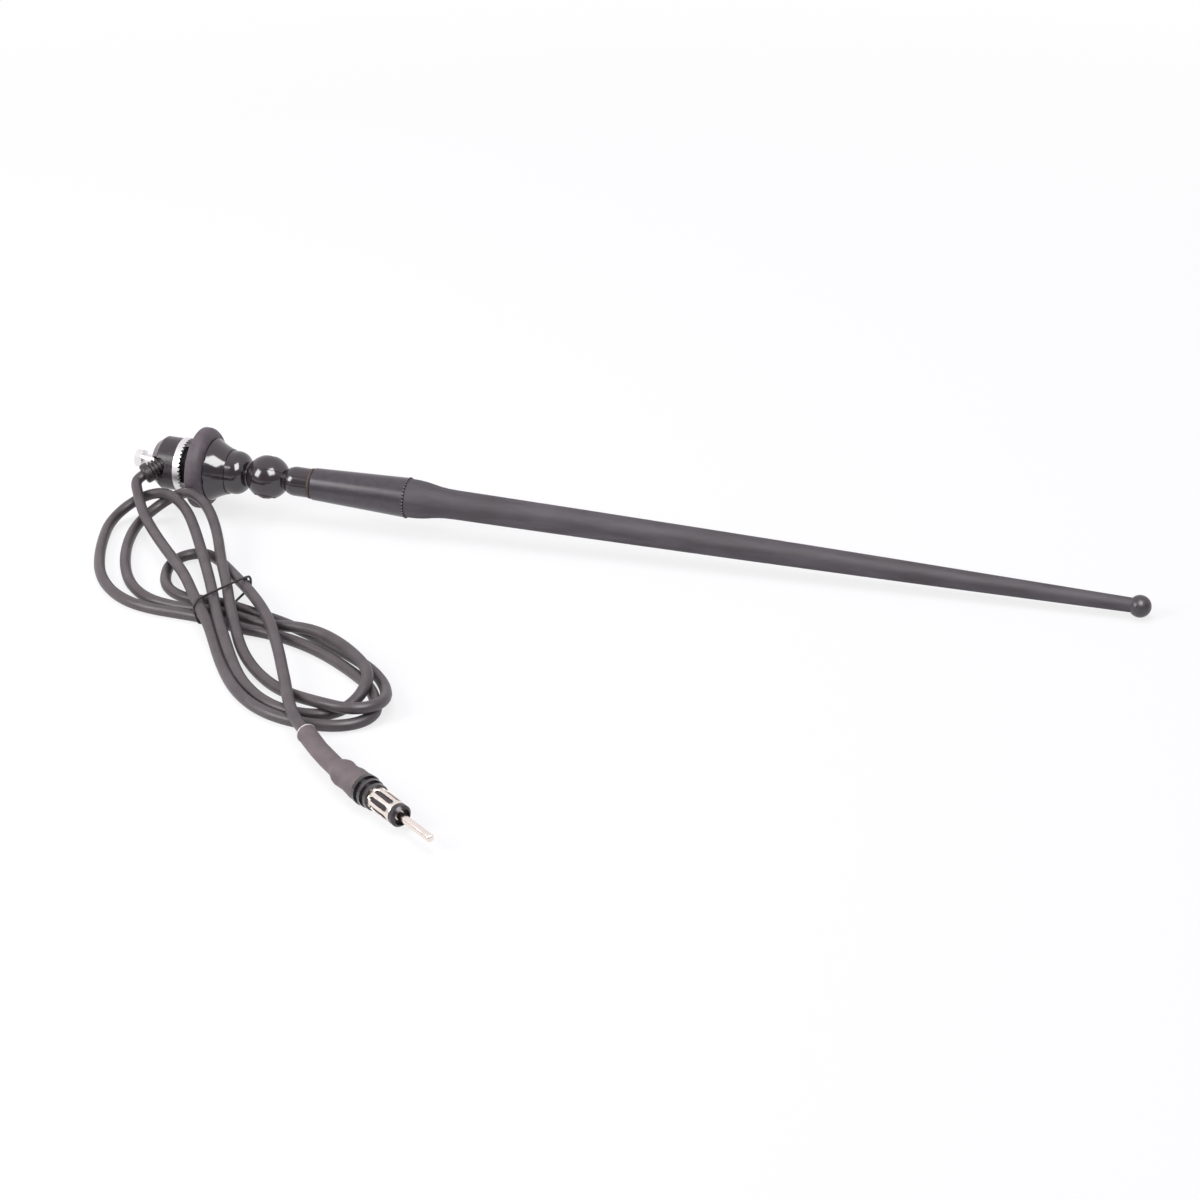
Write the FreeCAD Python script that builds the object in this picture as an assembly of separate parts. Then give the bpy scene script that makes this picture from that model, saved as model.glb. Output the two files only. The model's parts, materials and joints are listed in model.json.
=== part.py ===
"""Vehicle radio antenna with a rubber mast, a swivel ball, an under-panel clamp and a coax lead.

The antenna is modelled on its own axis: stations run along +X from the panel seat at 0, towards
the mast's tip. It is then laid down as it rests, on the rim of its pad and on its tip ball.
"""
import FreeCAD, Part
import math
import os

os.makedirs("parts", exist_ok=True)
V = FreeCAD.Vector

# Clearances, in mm on the radius
SNUG = 0.05
LOOSE = 0.2
RUNNING = 0.08

# Rubber pad that seals on the panel
PAD_RADIUS = 19.3
PAD_THICKNESS = 7.2
PAD_RIM = 1.2
PAD_BAND = 1.6
PAD_MARGIN = 0.5
PAD_SWELL = 1.8

# Flared cone
CONE_FOOT_RADIUS = 14.8
CONE_FOOT_EDGE = 0.8
CONE_TOP_RADIUS = 10.8
CONE_HEIGHT = 9.0
CONE_BOW = 0.4
CONE_WALL = 2.2
CONE_FLOOR = 1.8

# Dome and swivel ball
DOME_RADIUS = 10.3
DOME_BAND = 3.0
DOME_NOSE_RADIUS = 6.0
DOME_NOSE = 9.6
DOME_SPIGOT_RADIUS = 8.2
DOME_SPIGOT = 4.0
BALL_RADIUS = 10.5
BALL_ABOVE_CONE = 18.7
BALL_CLEARANCE = 0.35
BALL_SEAM = 0.24
BALL_SEAM_OFFSET = 2.3
PIVOT_DROP = 58.0

# Pivot screw, washer and nut
SCREW_RADIUS = 2.0
SCREW_HEAD_RADIUS = 3.9
SCREW_HEAD = 2.3
SCREW_RECESS = 1.3
SCREW_RECESS_SPAN = 4.4
SCREW_RECESS_WIDTH = 0.9
COUNTERBORE_RADIUS = 5.2
COUNTERBORE_SEAT = 5.3
WASHER_RADIUS = 4.7
WASHER_THICKNESS = 0.8
NUT_FLATS = 7.0
NUT_HEIGHT = 3.0
NUT_SEAT = 5.0

# Neck and the ring in front of it
NECK_RADIUS = 6.95
NECK_NOSE_RADIUS = 5.2
NECK_NOSE = 9.6
NECK_SHOULDER = 14.4
NECK_REACH = 21.4
RING_RADIUS = 7.2
RING_THICKNESS = 1.5
RING_CHAMFER = 0.3

# Ferrule and the stud inside it
FERRULE_LENGTH = 47.6
FERRULE_START_RADIUS = 7.6
FERRULE_END_RADIUS = 9.4
FERRULE_CHAMFER = 0.7
FERRULE_WEB = 4.0
RIM_NOTCHES = 36
RIM_NOTCH_RADIUS = 0.55
RIM_NOTCH_DEPTH = 1.2
STUD_RADIUS = 2.5
STUD_IN_NECK = 6.6
STUD_HEAD_RADIUS = 4.2
STUD_HEAD_GAP = 2.5
CORE_SOCKET = 14.0

# Rubber mast, its steel core and the tip
MAST_LENGTH = 333.5
MAST_ROOT_RADIUS = 9.1
MAST_PLUG_RADIUS = 5.8
MAST_PLUG = 24.0
MAST_FLARE = 23.0
MAST_FLARE_RADIUS = 6.85
MAST_MIDDLE_RADIUS = 5.55
MAST_TIP_RADIUS = 3.3
CORE_RADIUS = 1.2
CORE_IN_TIP = 4.0
TIP_BALL_RADIUS = 5.0

# Insulating bush and live stud that pass the panel
BUSH_RADIUS = 8.6
BUSH_BELOW = 12.0
BUSH_FLANGE_RADIUS = 12.2
BUSH_FLANGE = 2.2
LIVE_STUD_RADIUS = 4.5
LIVE_STUD_BELOW = 11.0
LIVE_STUD_IN_DOME = 3.0
LIVE_STUD_THREAD = 9.0

# Clamp below the panel
PANEL_GAP = 5.0
CLAW_RADIUS = 13.0
CLAW_HEIGHT = 3.6
CLAW_WALL = 1.5
CLAW_BASE = 1.2
CLAW_TEETH = 40
CLAW_TOOTH = 1.1
CLAW_LAND = 0.5
HOUSING_RADIUS = 12.6
HOUSING_LENGTH = 12.0
HOUSING_BEVEL_LENGTH = 3.6
HOUSING_BEVEL = 2.6
TAG_RADIUS = 5.2
TAG_THICKNESS = 0.6
TAG_TAB_LENGTH = 7.6
TAG_TAB_WIDTH = 3.0
BOLT_RADIUS = 2.5
BOLT_STANDOFF = 8.0
BOLT_IN_STUD = 7.0
BOLT_HEAD_FLATS = 8.0
BOLT_HEAD_HEIGHT = 3.5
BOLT_HEAD_CHAMFER = 0.6

# Cable boot, in a slanted pocket of the housing
BOOT_SLANT = 42.0
BOOT_DIP = 23.7
BOOT_OFFSET = 7.6
BOOT_RISE = 2.6
BOOT_INSET = 5.2
BOOT_POCKET_RADIUS = 5.2
BOOT_SPIGOT_RADIUS = 2.6
BOOT_SPIGOT = 1.6
BOOT_RIB_RADIUS = 4.2
BOOT_GROOVE_RADIUS = 3.3
BOOT_RIB = 1.0
BOOT_GROOVE = 0.75
BOOT_RIBS = 4
BOOT_KNOB_RADIUS = 4.8
BOOT_KNOB = 3.7
BOOT_KNOB_ROUND = 1.2

# Cable: its routes lie on the floor, in the part's own frame
CABLE_RADIUS = 2.5
CABLE_EXIT_RUN = 5.0
LEAD_ROUTE = [
    (-234.2, -22.8, 15.2),
    (-230.6, -26.8, 13.7),
    (-225.2, -33.6, 11.3),
    (-218.0, -41.3, 9.5),
    (-209.9, -50.4, 8.4),
    (-198.7, -64.0, 8.2),
    (-187.1, -77.4, 8.3),
    (-175.0, -92.1, 8.6),
    (-163.6, -107.2, 8.8),
]
TAIL_ROUTE = [
    (-147.5, -92.8, 8.7),
    (-138.5, -101.4, 8.4),
    (-129.9, -112.1, 8.2),
    (-121.5, -123.9, 7.9),
    (-114.2, -136.2, 7.6),
    (-107.0, -149.0, 7.6),
    (-100.4, -161.6, 7.6),
    (-94.5, -173.2, 7.6),
    (-88.8, -184.3, 7.6),
    (-83.0, -194.9, 7.6),
]
HANK_OUTLINE = [
    (-161, -118.5), (-181, -119), (-199, -113), (-216, -97.5), (-232, -68), (-241.5, -26),
    (-236, -10), (-222, -9.5), (-205, -21.5), (-188, -35), (-159, -78.5), (-146, -93.5),
    (-130, -103), (-108, -110), (-84, -124), (-57, -154), (-51.5, -175), (-57, -193),
    (-76, -198), (-95, -190), (-122, -167), (-147, -133.5),
]
HANK_LEFT_EYE = [
    (-199, -88), (-211, -68), (-221.5, -43), (-219, -30.5), (-207, -31), (-197, -48), (-195.5, -72),
]
HANK_RIGHT_EYE = [
    (-126, -131.5), (-108, -139), (-88, -150), (-74, -162), (-76, -171), (-88, -171.5), (-110, -153),
]
HANK_HEIGHT = 5.0
WAIST_CENTRE = (-153.5, -101.5)
WAIST_TURN = 60.0
WAIST_LENGTH = 28.6
WAIST_WIDTH = 20.0
WAIST_HEIGHT = 11.3
WAIST_ROUND = 4.0
TIE_THICKNESS = 1.2
TIE_WIDTH = 2.4
TIE_ROUND = 3.0

# Radio plug, with its own stations from the bend in its sleeve towards the pin's tip
SLEEVE_CUT = (-70.4, -210.4, 7.4)
PLUG_BEND = (-54.8, -227.7)
PLUG_TURN = -36.5
PLUG_HEIGHT = 6.7
PLUG_LEAD_IN = 7.0
SLEEVE_RADIUS = 3.9
SLEEVE_NARROW = 7.7
SLEEVE_STEP = 3.5
SLEEVE_STEP_RADIUS = 5.5
SLEEVE_END_RADIUS = 6.0
SLEEVE_LENGTH = 26.4
SLEEVE_ENTRY = 5.0
BARREL_RADIUS = 4.4
BARREL_LENGTH = 12.0
COLLAR_RADIUS = 6.25
COLLAR_LENGTH = 8.3
COLLAR_TAPER = 0.45
COLLAR_GROOVE = 0.6
COLLAR_GROOVES = 2
SHELL_RADIUS = 4.5
SHELL_BULGE = 0.2
SHELL_WALL = 0.45
SHELL_IN_COLLAR = 4.0
SHELL_LENGTH = 14.4
SHELL_WINDOWS = 6
WINDOW_START = 3.0
WINDOW_LENGTH = 9.6
WINDOW_WIDTH = 1.9
NOSE_LENGTH = 3.2
NOSE_DISH_RADIUS = 3.4
NOSE_DISH = 2.0
PIN_RADIUS = 1.6
PIN_LENGTH = 21.2
PIN_ROUND = 1.1
PIN_NECK_RADIUS = 1.9
PIN_NECK = 1.0
PIN_ROOT_RADIUS = 2.2
PIN_ROOT = 10.0

# Stations along the antenna
cone_base = PAD_THICKNESS
cone_top = cone_base + CONE_HEIGHT
socket_floor = cone_top - DOME_SPIGOT - LOOSE
cone_ceiling = socket_floor - CONE_FLOOR
ball = cone_top + BALL_ABOVE_CONE
neck_end = ball + NECK_REACH
ferrule_start = neck_end + RING_THICKNESS
ferrule_end = ferrule_start + FERRULE_LENGTH
stud_head_end = ferrule_end - MAST_PLUG - STUD_HEAD_GAP
mast_end = ferrule_end + MAST_LENGTH
tip_centre = mast_end + math.sqrt(TIP_BALL_RADIUS ** 2 - MAST_TIP_RADIUS ** 2)
claw_top = -PANEL_GAP
housing_top = claw_top - CLAW_HEIGHT
housing_end = housing_top - HOUSING_LENGTH
housing_floor = -BUSH_BELOW - TAG_THICKNESS - LOOSE
bolt_seat = housing_end - BOLT_STANDOFF

# The antenna leans on its tip: the far edge of the pad's band and the tip ball both touch the floor
band_end = PAD_RIM + PAD_BAND
span = tip_centre - band_end
LEAN = math.atan2(PAD_RADIUS, span) - math.asin(TIP_BALL_RADIUS / math.hypot(PAD_RADIUS, span))
PIVOT_AXIS = V(0, -math.cos(math.radians(PIVOT_DROP)), -math.sin(math.radians(PIVOT_DROP)))


def turned(*path):
    """Solid of revolution about +X. The path holds (station, radius) points. A step of two points is
    an arc through the first one, and a step of three is a curve with the first two as its handles."""
    def at(point):
        return V(point[0], 0, point[1])

    edges = []
    here = at(path[0])
    for step in path[1:] + path[:1]:
        points = [at(p) for p in step] if isinstance(step[0], tuple) else [at(step)]
        if len(points) == 1:
            curve = Part.LineSegment(here, points[0])
        elif len(points) == 2:
            curve = Part.Arc(here, points[0], points[1])
        else:
            curve = Part.BezierCurve()
            curve.setPoles([here] + points)
        edges.append(curve.toShape())
        here = points[-1]
    solid = Part.Face(Part.Wire(edges)).revolve(V(0, 0, 0), V(1, 0, 0), 360)
    return solid if solid.Volume > 0 else solid.reversed()


def level_arc(level, away):
    """Middle of the arc between two points that runs level with the axis at the first of them."""
    run = away[0] - level[0]
    drop = level[1] - away[1]
    radius = (run ** 2 + drop ** 2) / (2 * drop)
    half = math.atan2(drop, abs(run))
    return level[0] + math.copysign(radius * math.sin(half), run), level[1] - radius * (1 - math.cos(half))


def rod(start, end, radius):
    return Part.makeCylinder(radius, end - start, V(start, 0, 0), V(1, 0, 0))


def hexagon(flats, height):
    corner = flats / math.sqrt(3)
    turns = [math.radians(60 * k) for k in range(7)]
    outline = Part.makePolygon([V(corner * math.cos(a), corner * math.sin(a), 0) for a in turns])
    return Part.Face(outline).extrude(V(0, 0, height))


def aimed(shape, place, direction, was=V(1, 0, 0)):
    """A shape modelled along one direction, turned to another and moved to its place."""
    return shape.transformed(FreeCAD.Placement(place, FreeCAD.Rotation(was, direction)).toMatrix())


def on_pivot(shape):
    """A shape modelled about +Z at the ball's centre, put on the pivot screw's axis."""
    return aimed(shape, V(ball, 0, 0), PIVOT_AXIS, V(0, 0, 1))


def pivot_cylinder(radius, low, high):
    return on_pivot(Part.makeCylinder(radius, high - low, V(0, 0, low)))


def spun(shape, count):
    """Copies of a shape round the X axis."""
    return [shape.rotated(V(0, 0, 0), V(1, 0, 0), 360.0 * k / count) for k in range(count)]


def ball_sides():
    """The half-balls of the mast and of the base, and the room that each leaves for the other."""
    reach = 3 * BALL_RADIUS
    mast_low = -BALL_SEAM_OFFSET + BALL_SEAM / 2
    base_high = -BALL_SEAM_OFFSET - BALL_SEAM / 2
    mast_side = Part.makeBox(2 * reach, 2 * reach, reach, V(-reach, -reach, mast_low))
    base_side = Part.makeBox(2 * reach, 2 * reach, reach, V(-reach, -reach, base_high - reach))
    whole = Part.makeSphere(BALL_RADIUS)
    room = Part.makeSphere(BALL_RADIUS + BALL_CLEARANCE)
    halves = (whole.common(mast_side), whole.common(base_side))
    rooms = (room.cut(mast_side), room.cut(base_side))
    return [on_pivot(s) for s in halves + rooms]


mast_half_ball, base_half_ball, room_in_neck, room_in_dome = ball_sides()


def knuckle_mast_half():
    """Half-ball and neck in one piece, with the pivot hole and the screw's counterbore."""
    depth = ball + BALL_RADIUS / 3
    nose = (ball + NECK_NOSE, NECK_NOSE_RADIUS)
    shoulder = (ball + NECK_SHOULDER, NECK_RADIUS)
    neck = turned(
        (depth, 0), (depth, NECK_NOSE_RADIUS), nose, (level_arc(shoulder, nose), shoulder),
        (neck_end, NECK_RADIUS), (neck_end, 0),
    )
    body = neck.cut(room_in_neck).fuse(mast_half_ball)
    body = body.cut(pivot_cylinder(SCREW_RADIUS + RUNNING, -BALL_RADIUS, COUNTERBORE_SEAT))
    body = body.cut(pivot_cylinder(COUNTERBORE_RADIUS, COUNTERBORE_SEAT, 2 * BALL_RADIUS))
    return body.cut(rod(neck_end - STUD_IN_NECK - LOOSE, neck_end, STUD_RADIUS + SNUG))


def knuckle_base_half():
    """Half-ball and dome in one piece, with its spigot for the cone and the nut's pocket."""
    depth = ball - BALL_RADIUS / 3
    band = (cone_top + DOME_BAND, DOME_RADIUS)
    nose = (ball - DOME_NOSE, DOME_NOSE_RADIUS)
    dome = turned(
        (cone_top - DOME_SPIGOT, 0), (cone_top - DOME_SPIGOT, DOME_SPIGOT_RADIUS),
        (cone_top, DOME_SPIGOT_RADIUS), (cone_top, DOME_RADIUS), band, (level_arc(band, nose), nose),
        (depth, DOME_NOSE_RADIUS), (depth, 0),
    )
    body = dome.cut(room_in_dome).fuse(base_half_ball)
    body = body.cut(pivot_cylinder(SCREW_RADIUS + SNUG, -BALL_RADIUS, 0))
    pocket = hexagon(NUT_FLATS + 2 * SNUG, BALL_RADIUS)
    pocket.translate(V(0, 0, -NUT_SEAT - BALL_RADIUS))
    body = body.cut(on_pivot(pocket))
    socket_end = cone_top + LIVE_STUD_IN_DOME + LOOSE
    return body.cut(rod(cone_top - DOME_SPIGOT, socket_end, LIVE_STUD_RADIUS + SNUG))


def knuckle_screw():
    """Pan-head pivot screw with a cross recess."""
    seat = COUNTERBORE_SEAT + WASHER_THICKNESS + SNUG
    top = seat + SCREW_HEAD
    shank = Part.makeCylinder(SCREW_RADIUS, seat + NUT_SEAT + NUT_HEIGHT, V(0, 0, -NUT_SEAT - NUT_HEIGHT))
    head = Part.makeCylinder(SCREW_HEAD_RADIUS, SCREW_HEAD, V(0, 0, seat))
    rim = [e for e in head.Edges if abs(e.CenterOfMass.z - top) < 1e-6]
    screw = shank.fuse(head.makeFillet(SCREW_HEAD / 2, rim))
    for length, width in ((SCREW_RECESS_SPAN, SCREW_RECESS_WIDTH), (SCREW_RECESS_WIDTH, SCREW_RECESS_SPAN)):
        slot = Part.makeBox(length, width, SCREW_RECESS, V(-length / 2, -width / 2, top - SCREW_RECESS))
        screw = screw.cut(slot)
    return on_pivot(screw.removeSplitter())


def knuckle_washer():
    low = COUNTERBORE_SEAT + SNUG
    disc = Part.makeCylinder(WASHER_RADIUS, WASHER_THICKNESS, V(0, 0, low))
    return on_pivot(disc.cut(Part.makeCylinder(SCREW_RADIUS + SNUG, WASHER_THICKNESS, V(0, 0, low))))


def knuckle_nut():
    nut = hexagon(NUT_FLATS, NUT_HEIGHT)
    nut.translate(V(0, 0, -NUT_SEAT - NUT_HEIGHT))
    return on_pivot(nut).cut(pivot_cylinder(SCREW_RADIUS + SNUG, -NUT_SEAT - NUT_HEIGHT, -NUT_SEAT))


def base_cone():
    """Flared shell with a socket for the dome's spigot."""
    inside = CONE_FOOT_RADIUS - CONE_WALL
    edge = cone_base + CONE_FOOT_EDGE
    middle = ((edge + cone_top) / 2, (CONE_FOOT_RADIUS + CONE_TOP_RADIUS) / 2 - CONE_BOW)
    return turned(
        (cone_base, inside), (cone_base, CONE_FOOT_RADIUS), (edge, CONE_FOOT_RADIUS),
        (middle, (cone_top, CONE_TOP_RADIUS)),
        (cone_top, DOME_SPIGOT_RADIUS + SNUG), (socket_floor, DOME_SPIGOT_RADIUS + SNUG),
        (socket_floor, LIVE_STUD_RADIUS + LOOSE), (cone_ceiling, LIVE_STUD_RADIUS + LOOSE),
        (cone_ceiling, BUSH_RADIUS + CONE_WALL), (cone_base + BUSH_FLANGE, inside),
    )


def base_pad():
    """Rubber pad: flat below, a tight edge, a straight band and a full, round shoulder to the cone."""
    seat = CONE_FOOT_RADIUS + PAD_MARGIN
    edge = PAD_RADIUS - PAD_RIM
    turn = PAD_RIM * math.sqrt(0.5)
    return turned(
        (0, BUSH_RADIUS + SNUG), (0, edge),
        ((PAD_RIM - turn, edge + turn), (PAD_RIM, PAD_RADIUS)), (band_end, PAD_RADIUS),
        ((band_end + PAD_SWELL, PAD_RADIUS), (PAD_THICKNESS, seat + PAD_SWELL), (PAD_THICKNESS, seat)),
        (PAD_THICKNESS, BUSH_RADIUS + SNUG),
    )


def panel_bush():
    """Insulating bush with a flange under the cone."""
    bore = LIVE_STUD_RADIUS + SNUG
    return turned(
        (-BUSH_BELOW, bore), (-BUSH_BELOW, BUSH_RADIUS), (cone_base, BUSH_RADIUS),
        (cone_base, BUSH_FLANGE_RADIUS), (cone_base + BUSH_FLANGE - LOOSE, BUSH_FLANGE_RADIUS),
        (cone_base + BUSH_FLANGE - LOOSE, BUSH_RADIUS), (cone_ceiling, BUSH_RADIUS), (cone_ceiling, bore),
    )


def centre_stud():
    """Live stud from the dome's socket down to the clamp bolt, tapped at its lower end."""
    stud = rod(-LIVE_STUD_BELOW, cone_top + LIVE_STUD_IN_DOME, LIVE_STUD_RADIUS)
    return stud.cut(rod(-LIVE_STUD_BELOW, -LIVE_STUD_BELOW + LIVE_STUD_THREAD, BOLT_RADIUS + SNUG))


def claw_ring():
    """Pressed ring with a toothed edge that bites the panel."""
    inner = BUSH_RADIUS + LOOSE
    ring = turned(
        (housing_top, inner), (housing_top, CLAW_RADIUS), (claw_top, CLAW_RADIUS),
        (claw_top, CLAW_RADIUS - CLAW_WALL), (housing_top + CLAW_BASE, CLAW_RADIUS - CLAW_WALL),
        (housing_top + CLAW_BASE, inner),
    )
    half = math.pi * CLAW_RADIUS / CLAW_TEETH - CLAW_LAND / 2
    root = claw_top - CLAW_TOOTH
    low = CLAW_RADIUS - 2 * CLAW_WALL
    corners = [V(root, 0, low), V(claw_top, half, low), V(claw_top, -half, low), V(root, 0, low)]
    gap = Part.Face(Part.makePolygon(corners)).extrude(V(0, 0, 3 * CLAW_WALL))
    return ring.cut(Part.makeCompound(spun(gap, CLAW_TEETH)))


def boot_place():
    """Middle of the pocket's floor, and the way the boot points."""
    slant = math.radians(BOOT_SLANT)
    dip = math.radians(BOOT_DIP)
    place = V(housing_end + BOOT_INSET, -BOOT_OFFSET, BOOT_RISE)
    return place, V(-math.cos(slant) * math.cos(dip), -math.sin(slant) * math.cos(dip), -math.sin(dip))


def lower_housing():
    """Moulded cup round the bush, with a bevelled end and a slanted pocket for the cable boot."""
    hole = BOLT_RADIUS + LOOSE
    bore = BUSH_RADIUS + LOOSE
    cup = turned(
        (housing_top, bore), (housing_top, HOUSING_RADIUS),
        (housing_end + HOUSING_BEVEL_LENGTH, HOUSING_RADIUS), (housing_end, HOUSING_RADIUS - HOUSING_BEVEL),
        (housing_end, hole), (housing_floor, hole), (housing_floor, bore),
    )
    pocket = rod(0, 2 * HOUSING_RADIUS, BOOT_POCKET_RADIUS)
    passage = rod(-BOOT_SPIGOT - LOOSE, 0, BOOT_SPIGOT_RADIUS + SNUG)
    return cup.cut(aimed(pocket.fuse(passage), *boot_place()))


def boot_length():
    return BOOT_RIBS * (BOOT_RIB + BOOT_GROOVE) + BOOT_KNOB


def strain_relief():
    """Ribbed cable boot with a fat rounded end."""
    path = [(-BOOT_SPIGOT, 0), (-BOOT_SPIGOT, BOOT_SPIGOT_RADIUS), (0, BOOT_SPIGOT_RADIUS)]
    for k in range(BOOT_RIBS):
        start = k * (BOOT_RIB + BOOT_GROOVE)
        path += [(start, BOOT_RIB_RADIUS), (start + BOOT_RIB, BOOT_RIB_RADIUS)]
        path += [(start + BOOT_RIB, BOOT_GROOVE_RADIUS), (start + BOOT_RIB + BOOT_GROOVE, BOOT_GROOVE_RADIUS)]
    end = boot_length()
    bend = BOOT_KNOB_ROUND * math.sqrt(0.5)
    centre = (end - BOOT_KNOB_ROUND, BOOT_KNOB_RADIUS - BOOT_KNOB_ROUND)
    path += [(end - BOOT_KNOB, BOOT_KNOB_RADIUS), (end - BOOT_KNOB_ROUND, BOOT_KNOB_RADIUS)]
    path += [((centre[0] + bend, centre[1] + bend), (end, centre[1])), (end, 0)]
    return aimed(turned(*path), *boot_place())


def core_tag():
    """Solder tag on the clamp bolt, inside the housing, with its tab bent along the floor."""
    top = housing_floor + TAG_THICKNESS
    disc = rod(housing_floor, top, TAG_RADIUS)
    tab = Part.makeBox(TAG_THICKNESS, TAG_TAB_LENGTH, TAG_TAB_WIDTH, V(housing_floor, 0, -TAG_TAB_WIDTH / 2))
    hole = rod(housing_floor, top, BOLT_RADIUS + LOOSE)
    return disc.fuse(tab).cut(hole).removeSplitter()


def clamp_bolt():
    shank = rod(bolt_seat, -LIVE_STUD_BELOW + BOLT_IN_STUD, BOLT_RADIUS)
    head = aimed(hexagon(BOLT_HEAD_FLATS, BOLT_HEAD_HEIGHT), V(bolt_seat, 0, 0), V(-1, 0, 0), V(0, 0, 1))
    end = bolt_seat - BOLT_HEAD_HEIGHT
    corner = BOLT_HEAD_FLATS / math.sqrt(3)
    dressed = turned(
        (bolt_seat, 0), (bolt_seat, corner), (end + BOLT_HEAD_CHAMFER, corner),
        (end, BOLT_HEAD_FLATS / 2), (end, 0),
    )
    return shank.fuse(head.common(dressed))


def ferrule_ring():
    return turned(
        (neck_end, STUD_RADIUS + LOOSE), (neck_end, RING_RADIUS - RING_CHAMFER),
        (neck_end + RING_CHAMFER, RING_RADIUS), (ferrule_start - RING_CHAMFER, RING_RADIUS),
        (ferrule_start, RING_RADIUS - RING_CHAMFER), (ferrule_start, STUD_RADIUS + LOOSE),
    )


def ferrule():
    """Tapered sleeve, bored for the stud and the mast, with fine notches round its far rim."""
    web = ferrule_start + FERRULE_WEB
    root = ferrule_end - MAST_PLUG - LOOSE
    body = turned(
        (ferrule_start, STUD_RADIUS + LOOSE), (ferrule_start, FERRULE_START_RADIUS - FERRULE_CHAMFER),
        (ferrule_start + FERRULE_CHAMFER, FERRULE_START_RADIUS), (ferrule_end, FERRULE_END_RADIUS),
        (ferrule_end, MAST_PLUG_RADIUS + SNUG), (root, MAST_PLUG_RADIUS + SNUG),
        (root, STUD_HEAD_RADIUS + SNUG), (web, STUD_HEAD_RADIUS + SNUG), (web, STUD_RADIUS + LOOSE),
    )
    notch = Part.makeCylinder(RIM_NOTCH_RADIUS, 2 * RIM_NOTCH_DEPTH,
                              V(ferrule_end, 0, FERRULE_END_RADIUS - RIM_NOTCH_DEPTH))
    return body.cut(Part.makeCompound(spun(notch, RIM_NOTCHES)))


def mast_stud():
    """Threaded stud with a head in the ferrule and a socket for the mast's core."""
    head = ferrule_start + FERRULE_WEB
    stud = rod(neck_end - STUD_IN_NECK, head, STUD_RADIUS).fuse(rod(head, stud_head_end, STUD_HEAD_RADIUS))
    return stud.cut(rod(stud_head_end - CORE_SOCKET, stud_head_end, CORE_RADIUS + SNUG))


def mast_core():
    return rod(stud_head_end - CORE_SOCKET, mast_end + CORE_IN_TIP, CORE_RADIUS)


def mast_rubber():
    """Moulded mast: a plug in the ferrule, a quick flare and one long, slightly full taper."""
    bore = CORE_RADIUS + SNUG
    flare = ferrule_end + MAST_FLARE
    bend = ferrule_end + MAST_FLARE / 2
    return turned(
        (ferrule_end - MAST_PLUG, bore), (ferrule_end - MAST_PLUG, MAST_PLUG_RADIUS),
        (ferrule_end, MAST_PLUG_RADIUS), (ferrule_end, MAST_ROOT_RADIUS),
        ((bend, MAST_ROOT_RADIUS), (bend, MAST_FLARE_RADIUS), (flare, MAST_FLARE_RADIUS)),
        (((flare + mast_end) / 2, MAST_MIDDLE_RADIUS), (mast_end, MAST_TIP_RADIUS)), (mast_end, bore),
    )


def tip_ball():
    """Ball with a flat seat on the mast's end and a socket for the core."""
    seat = Part.makeBox(TIP_BALL_RADIUS, 4 * TIP_BALL_RADIUS, 4 * TIP_BALL_RADIUS,
                        V(mast_end - TIP_BALL_RADIUS, -2 * TIP_BALL_RADIUS, -2 * TIP_BALL_RADIUS))
    whole = Part.makeSphere(TIP_BALL_RADIUS, V(tip_centre, 0, 0), V(1, 0, 0))
    return whole.cut(seat).cut(rod(mast_end, mast_end + CORE_IN_TIP, CORE_RADIUS + SNUG))


def laid_down(shape):
    return shape.transformed(RESTING.toMatrix())


# The antenna at rest: leaning on its tip, its box centred on the origin, its pad on the floor
leaning = FreeCAD.Rotation(V(0, 1, 0), math.degrees(LEAN))
bolt_corner = V(bolt_seat - BOLT_HEAD_HEIGHT, 0, -BOLT_HEAD_FLATS / 2)
low_end = leaning.multVec(bolt_corner).x
high_end = leaning.multVec(V(tip_centre, 0, 0)).x + TIP_BALL_RADIUS
floor = leaning.multVec(V(tip_centre, 0, 0)).z - TIP_BALL_RADIUS
RESTING = FreeCAD.Placement(V(-(low_end + high_end) / 2, 0, -floor), leaning)


def cord(points, radius):
    """A tube along straight runs joined by tangent arcs, each as large as its runs allow."""
    edges = []
    radii = []
    here = points[0]
    for before, corner, after in zip(points, points[1:], points[2:]):
        back = before - corner
        ahead = after - corner
        cut = 0.45 * min(back.Length, ahead.Length)
        turn = math.pi - back.getAngle(ahead)
        radii.append(round(cut / math.tan(turn / 2), 1))
        back.normalize()
        ahead.normalize()
        start = corner + back * cut
        end = corner + ahead * cut
        inward = (back + ahead).normalize()
        centre = corner + inward * (cut / math.sin(turn / 2))
        middle = centre - inward * (cut / math.tan(turn / 2))
        edges.append(Part.LineSegment(here, start).toShape())
        edges.append(Part.Arc(start, middle, end).toShape())
        here = end
    edges.append(Part.LineSegment(here, points[-1]).toShape())
    path = Part.Wire(edges)
    section = Part.Wire([Part.Circle(points[0], points[1] - points[0], radius).toShape()])
    solid = path.makePipeShell([section], True, False)
    print("cord radii", radii, "length", round(path.Length, 1),
          "volume share", round(solid.Volume / (math.pi * radius ** 2 * path.Length), 4))
    return solid


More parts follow.
